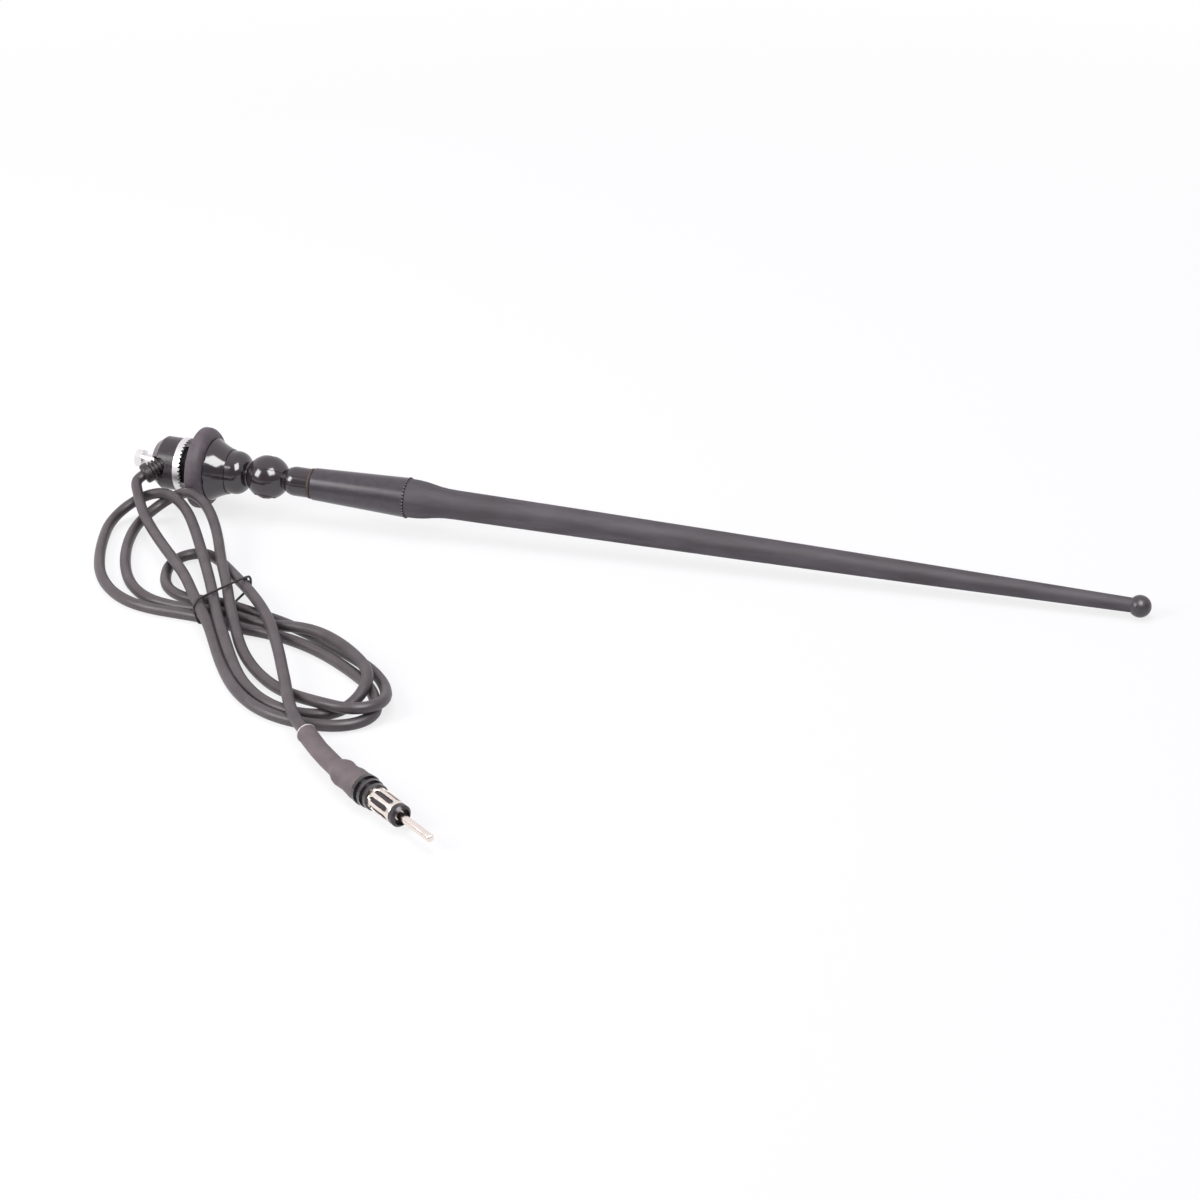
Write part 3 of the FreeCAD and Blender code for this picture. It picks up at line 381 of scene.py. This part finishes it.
SECOND_RIGHT_LOOP = [
    (-0.1265, -0.1545, 0.0046), (-0.1180, -0.1660, 0.0030), (-0.1085, -0.1758, 0.0025),
    (-0.1000, -0.1822, 0.0025), (-0.0905, -0.1866, 0.0025), (-0.0805, -0.1880, 0.0025),
    (-0.0720, -0.1858, 0.0025), (-0.0665, -0.1798, 0.0026), (-0.0632, -0.1725, 0.0044),
    (-0.0622, -0.1650, 0.0070), (-0.0643, -0.1570, 0.0076), (-0.0690, -0.1495, 0.0076),
    (-0.0755, -0.1425, 0.0076), (-0.0840, -0.1350, 0.0076), (-0.0945, -0.1280, 0.0076),
    (-0.1045, -0.1232, 0.0068), (-0.1140, -0.1202, 0.0052), (-0.1235, -0.1180, 0.0034),
    (-0.1345, -0.1155, 0.0028),
]
SECOND_LEFT_LOOP = [
    (-0.1460, -0.1128, 0.0035), (-0.1570, -0.1115, 0.0034), (-0.1670, -0.1110, 0.0025),
    (-0.1760, -0.1100, 0.0025), (-0.1850, -0.1075, 0.0025), (-0.1935, -0.1020, 0.0025),
    (-0.2025, -0.0925, 0.0025), (-0.2110, -0.0785, 0.0025), (-0.2185, -0.0615, 0.0025),
    (-0.2232, -0.0450, 0.0028), (-0.2240, -0.0330, 0.0040), (-0.2212, -0.0240, 0.0063),
    (-0.2165, -0.0193, 0.0094), (-0.2105, -0.0188, 0.0130), (-0.2035, -0.0215, 0.0158),
    (-0.1960, -0.0255, 0.0148), (-0.1880, -0.0335, 0.0128), (-0.1770, -0.0510, 0.0106),
    (-0.1655, -0.0740, 0.0092), (-0.1585, -0.0865, 0.0088), (-0.1520, -0.0985, 0.0088),
    (-0.1460, -0.1105, 0.0087), (-0.1400, -0.1215, 0.0082), (-0.1340, -0.1318, 0.0070),
]
THIRD_RIGHT_LOOP = [
    (-0.1280, -0.1420, 0.0056), (-0.1220, -0.1500, 0.0042), (-0.1155, -0.1568, 0.0030),
    (-0.1080, -0.1636, 0.0025), (-0.0995, -0.1700, 0.0026), (-0.0905, -0.1756, 0.0037),
    (-0.0810, -0.1812, 0.0057), (-0.0715, -0.1858, 0.0074), (-0.0630, -0.1878, 0.0078),
    (-0.0555, -0.1856, 0.0078), (-0.0512, -0.1785, 0.0069), (-0.0520, -0.1690, 0.0050),
    (-0.0562, -0.1590, 0.0034), (-0.0620, -0.1500, 0.0025), (-0.0690, -0.1430, 0.0025),
    (-0.0770, -0.1370, 0.0025), (-0.0855, -0.1315, 0.0025), (-0.0955, -0.1255, 0.0025),
    (-0.1060, -0.1195, 0.0025), (-0.1165, -0.1142, 0.0025), (-0.1270, -0.1100, 0.0025),
    (-0.1375, -0.1073, 0.0028),
]
THIRD_LEFT_LOOP = [
    (-0.1485, -0.1052, 0.0038), (-0.1585, -0.1042, 0.0038), (-0.1670, -0.1028, 0.0028),
    (-0.1740, -0.1005, 0.0025), (-0.1805, -0.0965, 0.0025), (-0.1855, -0.0905, 0.0025),
    (-0.1890, -0.0830, 0.0025), (-0.1915, -0.0745, 0.0025), (-0.1918, -0.0665, 0.0025),
    (-0.1880, -0.0602, 0.0030), (-0.1810, -0.0582, 0.0036), (-0.1730, -0.0625, 0.0040),
    (-0.1645, -0.0715, 0.0050),
]
TAIL = [
    (-0.1545, -0.0840, 0.0072), (-0.1450, -0.0950, 0.0085), (-0.1375, -0.1035, 0.0088),
    (-0.1295, -0.1130, 0.0086), (-0.1215, -0.1240, 0.0080), (-0.1140, -0.1365, 0.0076),
    (-0.1070, -0.1490, 0.0076), (-0.1005, -0.1615, 0.0076), (-0.0945, -0.1730, 0.0078),
    (-0.0888, -0.1845, 0.0077), (-0.0828, -0.1952, 0.0076), (-0.0768, -0.2034, 0.0075),
    (-0.0704, -0.2104, 0.0074), (-0.0667, -0.2145, 0.0073),
]
route = (LEAD + FIRST_RIGHT_LOOP + FIRST_LEFT_LOOP + SECOND_RIGHT_LOOP + SECOND_LEFT_LOOP
         + THIRD_RIGHT_LOOP + THIRD_LEFT_LOOP + TAIL)
cable_line = bpy.data.curves.new("cable", "CURVE")
cable_line.dimensions = "3D"
strand = cable_line.splines.new("NURBS")
strand.points.add(len(route) - 1)
for point, place in zip(strand.points, route):
    point.co = (*place, 1.0)
strand.order_u = 3
strand.use_endpoint_u = True
strand.resolution_u = 8
cable_line.bevel_depth = CABLE_DIAMETER / 2
cable_line.bevel_resolution = 5
cable = bpy.data.objects.new("cable", cable_line)
bpy.context.scene.collection.objects.link(cable)
# Soft vinyl jacket: warm charcoal, matt, with a faint bloom where it has been handled
cable_vinyl = moulded("cable_jacket_vinyl", "#484143", "#544d4f", 9.0, (0.36, 0.48), 0.5, 0.01)
cable_line.materials.append(cable_vinyl)
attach(cable, "base")
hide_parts("cable_lead", "cable_hank", "cable_tail")

# Wire tie. A thin vinyl-covered wire drawn tight round the waist of the figure-eight; its two ends
# are twisted together over the strand that leads to the plug.
TIE_WIRE = 0.00055
TIE_LOOP = [
    (-0.1480, -0.0982, 0.0120), (-0.1514, -0.1066, 0.0121), (-0.1548, -0.1147, 0.0121),
    (-0.1577, -0.1218, 0.0118), (-0.1571, -0.1223, 0.0060), (-0.1557, -0.1217, 0.0007),
    (-0.1540, -0.1130, 0.0007), (-0.1500, -0.1032, 0.0008), (-0.1463, -0.0942, 0.0045),
    (-0.1446, -0.0898, 0.0058), (-0.1445, -0.0897, 0.0112), (-0.1457, -0.0928, 0.0118),
]


def wound(name, material, sizes):
    """Strands of wire wound round each other in a helix along +Z."""
    tree = bpy.data.node_groups.new(name, "GeometryNodeTree")
    for label, kind in (("Turns", "Float"), ("Radius", "Float"), ("Height", "Float"), ("Wire", "Float"),
                        ("Sides", "Int"), ("Strands", "Int")):
        tree.interface.new_socket(label, in_out="INPUT", socket_type="NodeSocket" + kind)
    tree.interface.new_socket("Geometry", in_out="OUTPUT", socket_type="NodeSocketGeometry")
    given = add(tree, "NodeGroupInput", {}, {}).outputs
    line = add(tree, "GeometryNodeCurveSpiral", {},
               {"Resolution": 20, "Rotations": given["Turns"], "Start Radius": given["Radius"],
                "End Radius": given["Radius"], "Height": given["Height"]})
    ring = add(tree, "GeometryNodeCurvePrimitiveCircle", {},
               {"Resolution": given["Sides"], "Radius": given["Wire"]})
    tube = add(tree, "GeometryNodeCurveToMesh", {},
               {"Curve": line.outputs[0], "Profile Curve": ring.outputs[0], "Fill Caps": True})
    seeds = add(tree, "GeometryNodePoints", {}, {"Count": given["Strands"]})
    index = add(tree, "GeometryNodeInputIndex", {}, {})
    share = add(tree, "ShaderNodeMath", {"operation": "DIVIDE"}, {0: index.outputs[0], 1: given["Strands"]})
    angle = add(tree, "ShaderNodeMath", {"operation": "MULTIPLY"}, {0: share.outputs[0], 1: math.tau})
    spin = add(tree, "ShaderNodeCombineXYZ", {}, {"Z": angle.outputs[0]})
    set_out = add(tree, "GeometryNodeInstanceOnPoints", {},
                  {"Points": seeds.outputs[0], "Instance": tube.outputs[0], "Rotation": spin.outputs[0]})
    real = add(tree, "GeometryNodeRealizeInstances", {}, {0: set_out.outputs[0]})
    skin = add(tree, "GeometryNodeSetMaterial", {}, {"Geometry": real.outputs[0], "Material": material})
    add(tree, "NodeGroupOutput", {}, {0: skin.outputs[0]})
    return grown(name, tree, sizes)


# Covered wire: black, with a slight shine
tie_vinyl = moulded("tie_vinyl", "#262123", "#312b2d", 2.0, (0.3, 0.45), 0.4, 0.004)
loop = bpy.data.curves.new("tie_loop", "CURVE")
loop.dimensions = "3D"
loop_line = loop.splines.new("NURBS")
loop_line.points.add(len(TIE_LOOP) - 1)
for point, place in zip(loop_line.points, TIE_LOOP):
    point.co = (*place, 1.0)
loop_line.order_u = 3
loop_line.use_cyclic_u = True
loop_line.resolution_u = 6
loop.bevel_depth = TIE_WIRE
loop.bevel_resolution = 2
loop.materials.append(tie_vinyl)
loop_maker = bpy.data.objects.new("tie_loop", loop)
bpy.context.scene.collection.objects.link(loop_maker)
tie = solid_copy(loop_maker, "wire_tie")
TWIST_PLACE = Vector((-0.1462, -0.0930, 0.0118))
TWIST_WAY = Vector((0.55, -0.10, -0.62))
TWIST_LENGTH = 0.0045
twist = wound("tie_twist", tie_vinyl, {"Turns": 1.5, "Radius": TIE_WIRE, "Height": TWIST_LENGTH,
                                       "Wire": TIE_WIRE * 0.85, "Sides": 8, "Strands": 2})
along_twist = TWIST_WAY.to_track_quat("Z", "Y").to_matrix().to_4x4()
twist.data.transform(Matrix.Translation(TWIST_PLACE) @ along_twist)
for piece in (tie, twist):
    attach(piece, "base")
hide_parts("cable_tie")

# Heat-shrink sleeve. A tube shrunk over the cable and the plug's barrel: it bends with the cable,
# then steps up over the barrel, where the shrinking has left it lumpy. Its cut end is painted pale as a
# highlight.
SLEEVE_CUT = Vector((-0.0704, -0.2104, 0.0074))
SLEEVE_BEND = Vector((-0.0548, -0.2277, 0.0067))
SLEEVE_BEND_REACH = 0.007
SLEEVE_LUMP = 0.10
plug = next(m for m in frame["record"]["mounts"] if m["name"] == "radio_plug_pin")
plug_way = Vector(plug["axis"])
SLEEVE_OUTLINE = [
    (0.0, 2.6), (0.0, 3.9), (0.3, 4.15), (0.8, 4.1), (1.1, 3.9), (6.0, 3.92),
    (14.0, 3.86), (22.0, 3.95), (28.5, 3.9), (30.6, 4.0), (32.2, 4.6), (33.6, 5.3),
    (35.0, 5.58), (36.6, 5.5), (38.4, 5.3), (40.4, 5.35), (43.0, 5.72), (46.0, 5.92),
    (49.0, 6.02), (49.6, 5.9), (49.6, 4.6),
]
SLEEVE_SIDES = 48
CUT_RINGS = 3


def sleeve_line(way):
    """The sleeve's middle line: the cable's way in, then the plug's own axis, with a soft bend."""
    into = SLEEVE_BEND - SLEEVE_CUT
    ends = []
    for near in (way - SLEEVE_BEND_REACH, way + SLEEVE_BEND_REACH):
        ends.append(SLEEVE_CUT + into.normalized() * near if near < into.length
                    else SLEEVE_BEND + plug_way * (near - into.length))
    return (ends[0] + ends[1]) / 2


rings = []
for step, radius in SLEEVE_OUTLINE:
    here = sleeve_line(step * MM)
    ahead = (sleeve_line(step * MM + 0.001) - here).normalized()
    side = ahead.cross(Vector((0, 0, 1))).normalized()
    up = side.cross(ahead)
    lump = SLEEVE_LUMP * max(0.0, min(1.0, (step - 30) / 5)) * (radius > 5)
    ring = []
    for k in range(SLEEVE_SIDES):
        turn = math.tau * k / SLEEVE_SIDES
        wave = lump * (math.sin(3 * turn + 0.9 * step) + 0.6 * math.sin(5 * turn - 0.55 * step))
        ring.append(here + (side * math.cos(turn) + up * math.sin(turn)) * (radius + wave) * MM)
    rings.append(ring)
# Shrunk polymer: dull grey-brown, like soft rubber
sleeve_skin = moulded("shrink_sleeve", "#5e5455", "#6a5f60", 5.0, (0.52, 0.66), 0.5, 0.01)
# Painted highlight on the sleeve's cut end: a pale grey edge
sleeve_cut_highlight = moulded("sleeve_cut_painted_highlight", "#d5cdc9", "#e2dbd7", 1.0, (0.5, 0.6), 0.4, 0.004)
sleeve = skinned("shrink_sleeve", rings, sleeve_skin)
sleeve.data.materials.append(sleeve_cut_highlight)
# The first rings, at the cut end, take the painted highlight
for face in sleeve.data.polygons:
    face.material_index = 1 if face.index < CUT_RINGS * SLEEVE_SIDES else 0
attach(sleeve, "base")
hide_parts("plug_sleeve")

# Plug collar. A ringed collar moulded in glossy black plastic, pressed over the back of the shell to
# close the plug behind it.
# Polished plastic: grey-black, with a clear shine on each ring
collar_plastic = moulded("collar_plastic", "#2b282a", "#373335", 2.0, (0.12, 0.2), 1.0, 0.003)
polished(collar_plastic, 0.9)
dress(collar_plastic, "plug_collar")

# Plug shell and pin. Rolled and turned brass under bright nickel; the windows let the shell spring
# a little in the radio's socket.
# Bright nickel: creamy white, with soft streaks
nickel = plated("bright_nickel", "#efe5dd", (0.2, 0.3), 6.0)
dress(nickel, "plug_pin")
SHELL_OUTLINE = [
    (30.7, 4.5), (34.7, 4.5), (37.0, 4.6), (39.5, 4.68), (42.0, 4.7), (44.5, 4.68),
    (47.0, 4.6), (48.7, 4.52), (49.1, 4.4), (49.1, 4.06), (30.7, 4.06),
]
SHELL_SIDES = 96
SHELL_WINDOWS = 8
WINDOW_TURN = 29.0
PUNCH_REACH = (3.0, 6.0)
WINDOW_OUTLINE = [
    (36.8, -0.7), (37.6, -0.95), (46.0, -1.1), (46.8, -0.95), (47.3, -0.55), (47.3, 0.55),
    (46.8, 0.95), (46.0, 1.1), (37.6, 0.95), (36.8, 0.7), (36.3, 0.35), (36.3, -0.35),
]
plug_side = plug_way.cross(Vector((0, 0, 1))).normalized()
plug_up = plug_side.cross(plug_way)


def on_plug(step, across, out, turn):
    """A point on the plug: a way along its axis, across and out from it, at a turn from the top."""
    rise = plug_up * math.cos(turn) - plug_side * math.sin(turn)
    return SLEEVE_BEND + (plug_way * step + rise * out + plug_way.cross(rise) * across) * MM


shell_turns = [math.tau * k / SHELL_SIDES for k in range(SHELL_SIDES)]
shell_rings = [[on_plug(step, 0, radius, turn) for turn in shell_turns] for step, radius in SHELL_OUTLINE]
shell_tube = skinned("shell_tube", shell_rings, nickel, looped=True)
punches = []
for k in range(SHELL_WINDOWS):
    turn = math.radians(WINDOW_TURN) + math.tau * k / SHELL_WINDOWS
    punch_rings = [[on_plug(step, across, out, turn) for step, across in WINDOW_OUTLINE]
                   for out in PUNCH_REACH]
    punches.append(skinned("punch", punch_rings, nickel))
    shell_tube.modifiers.new("window", "BOOLEAN").object = punches[-1]
shell = solid_copy(shell_tube, "nickel_shell")
for punch in punches:
    bpy.data.objects.remove(punch)
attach(shell, "base")
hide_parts("plug_shell")

# Insulator. Black moulded plastic that fills the shell and centres the pin; its nose, in the shell's
# mouth, ends in a shallow dish.
# Moulded plastic: grey-black, with a soft shine in the dish
insulator_plastic = moulded("insulator_plastic", "#322c2f", "#3b3438", 2.0, (0.2, 0.3), 0.6, 0.003)
dress(insulator_plastic, "plug_insulator")

# Cable and plug together. The tie, the sleeve and the pieces of the plug are held by the cable alone;
# here they are gathered in one list.
on_cable = [tie, twist, sleeve, shell]
on_cable += [nodes[name] for name in ("plug_collar", "plug_insulator", "plug_pin")]

# Floor. A wide sheet of white paper under the antenna, which reads as plain white and keeps a faint
# shadow.
floor_mesh = bpy.data.meshes.new("floor")
REACH = 30.0
floor_mesh.from_pydata([(-REACH, -REACH, 0), (REACH, -REACH, 0), (REACH, REACH, 0), (-REACH, REACH, 0)],
                       [], [(0, 1, 2, 3)])
floor = bpy.data.objects.new("floor", floor_mesh)
bpy.context.scene.collection.objects.link(floor)
# White paper: mostly its own even white to the camera, so the shadow on it stays faint; further out
# it is all its own white
PAPER_NEAR = 0.45
PAPER_FAR = 1.3
PAPER_OWN_WHITE = 0.78
paper = bpy.data.materials.new("white_paper")
paper.use_nodes = True
paper.node_tree.nodes.clear()
paper_ray = add(paper.node_tree, "ShaderNodeLightPath", {}, {})
paper_place = add(paper.node_tree, "ShaderNodeTexCoord", {}, {}).outputs["Object"]
paper_reach = add(paper.node_tree, "ShaderNodeVectorMath", {"operation": "LENGTH"}, {0: paper_place})
paper_own = add(paper.node_tree, "ShaderNodeMapRange", {"interpolation_type": "SMOOTHSTEP"},
                {"Value": paper_reach.outputs["Value"], "From Min": PAPER_NEAR, "From Max": PAPER_FAR,
                 "To Min": PAPER_OWN_WHITE, "To Max": 1.0})
paper_seen = add(paper.node_tree, "ShaderNodeMath", {"operation": "MAXIMUM"},
                 {0: paper_ray.outputs["Is Camera Ray"], 1: paper_ray.outputs["Is Glossy Ray"]})
paper_shown = add(paper.node_tree, "ShaderNodeMath", {"operation": "MAXIMUM"},
                  {0: paper_seen.outputs[0], 1: paper_ray.outputs["Is Transmission Ray"]})
paper_share = add(paper.node_tree, "ShaderNodeMath", {"operation": "MULTIPLY"},
                  {0: paper_shown.outputs[0], 1: paper_own.outputs[0]})
paper_lit = add(paper.node_tree, "ShaderNodeBsdfDiffuse", {}, {"Color": linear("#fbf9fd")})
paper_even = add(paper.node_tree, "ShaderNodeEmission", {}, {"Color": linear("#ffffff"), "Strength": 1.0})
paper_mix = add(paper.node_tree, "ShaderNodeMixShader", {},
                {0: paper_share.outputs[0], 1: paper_lit.outputs[0], 2: paper_even.outputs[0]})
add(paper.node_tree, "ShaderNodeOutputMaterial", {}, {"Surface": paper_mix.outputs[0]})
floor_mesh.materials.append(paper)

# Room and lamps. A white studio: a soft box at the left, a wide soft lamp overhead, and a pale panel
# at the right that only shows as a reflection in the gloss.
room = bpy.data.worlds.new("white_studio")
room.use_nodes = True
bpy.context.scene.world = room
room.node_tree.nodes.clear()
room_ray = add(room.node_tree, "ShaderNodeLightPath", {}, {})
room_seen = add(room.node_tree, "ShaderNodeMath", {"operation": "MAXIMUM"},
                {0: room_ray.outputs["Is Camera Ray"], 1: room_ray.outputs["Is Glossy Ray"]})
room_shown = add(room.node_tree, "ShaderNodeMath", {"operation": "MAXIMUM"},
                 {0: room_seen.outputs[0], 1: room_ray.outputs["Is Transmission Ray"]})
room_place = add(room.node_tree, "ShaderNodeTexCoord", {}, {}).outputs["Generated"]
room_away = add(room.node_tree, "ShaderNodeVectorMath", {"operation": "DOT_PRODUCT"},
                {0: room_place, 1: (0.0, 0.8, 0.6)})
room_far = add(room.node_tree, "ShaderNodeMapRange", {"interpolation_type": "SMOOTHSTEP"},
               {"Value": room_away.outputs["Value"], "From Min": -0.35, "From Max": 0.55, "To Min": 0.35,
                "To Max": 1.0})
room_height = add(room.node_tree, "ShaderNodeSeparateXYZ", {}, {0: room_place})
room_low = add(room.node_tree, "ShaderNodeMapRange", {"interpolation_type": "SMOOTHSTEP"},
               {"Value": room_height.outputs["Z"], "From Min": 0.32, "From Max": 0.0, "To Min": 0.0,
                "To Max": 0.5})
room_side = add(room.node_tree, "ShaderNodeMath", {"operation": "MAXIMUM"},
                {0: room_far.outputs[0], 1: room_low.outputs[0]})
room_gloss = add(room.node_tree, "ShaderNodeMix", {},
                 {0: room_ray.outputs["Is Glossy Ray"], 2: 1.0, 3: room_side.outputs[0]})
room_fill = add(room.node_tree, "ShaderNodeBackground", {},
                {"Color": linear("#f3effc"), "Strength": 0.42})
room_white = add(room.node_tree, "ShaderNodeBackground", {},
                 {"Color": linear("#faf6fa"), "Strength": room_gloss.outputs[0]})
room_mix = add(room.node_tree, "ShaderNodeMixShader", {},
               {0: room_shown.outputs[0], 1: room_fill.outputs[0], 2: room_white.outputs[0]})
add(room.node_tree, "ShaderNodeOutputWorld", {}, {"Surface": room_mix.outputs[0]})

AIM = Vector((-0.12, -0.02, 0.02))
for name, place, size, power, mirrored, lights in (
        ("soft_box", (-0.88, -0.72, 0.62), (0.50, 0.62), 10.0, True, True),
        ("overhead", (-0.40, 0.60, 3.00), (2.20, 2.20), 48.0, False, True),
        ("right_panel", (0.31, -0.45, 0.76), (0.55, 0.60), 11.0, True, False)):
    lamp = bpy.data.lights.new(name, "AREA")
    lamp.shape = "RECTANGLE"
    lamp.size, lamp.size_y = size
    lamp.energy = power
    stand = bpy.data.objects.new(name, lamp)
    stand.location = place
    stand.rotation_euler = (AIM - Vector(place)).to_track_quat("-Z", "Y").to_euler()
    stand.visible_glossy = mirrored
    stand.visible_diffuse = lights
    bpy.context.scene.collection.objects.link(stand)

# Camera. It stands where the photograph was taken from, on the plug's side and about half a metre
# above the floor.
CAMERA_PLACE = (0.2875, -1.0434, 0.5027)
CAMERA_DROP = 25.919
CAMERA_TURN = 15.909
camera = bpy.data.objects.new("camera", bpy.data.cameras.new("camera"))
camera.data.sensor_width = 36.0
camera.data.lens = 78.0
camera.location = CAMERA_PLACE
camera.rotation_euler = (math.radians(90 - CAMERA_DROP), 0, math.radians(CAMERA_TURN))
bpy.context.scene.collection.objects.link(camera)
bpy.context.scene.camera = camera
bpy.context.scene.view_settings.view_transform = "Standard"
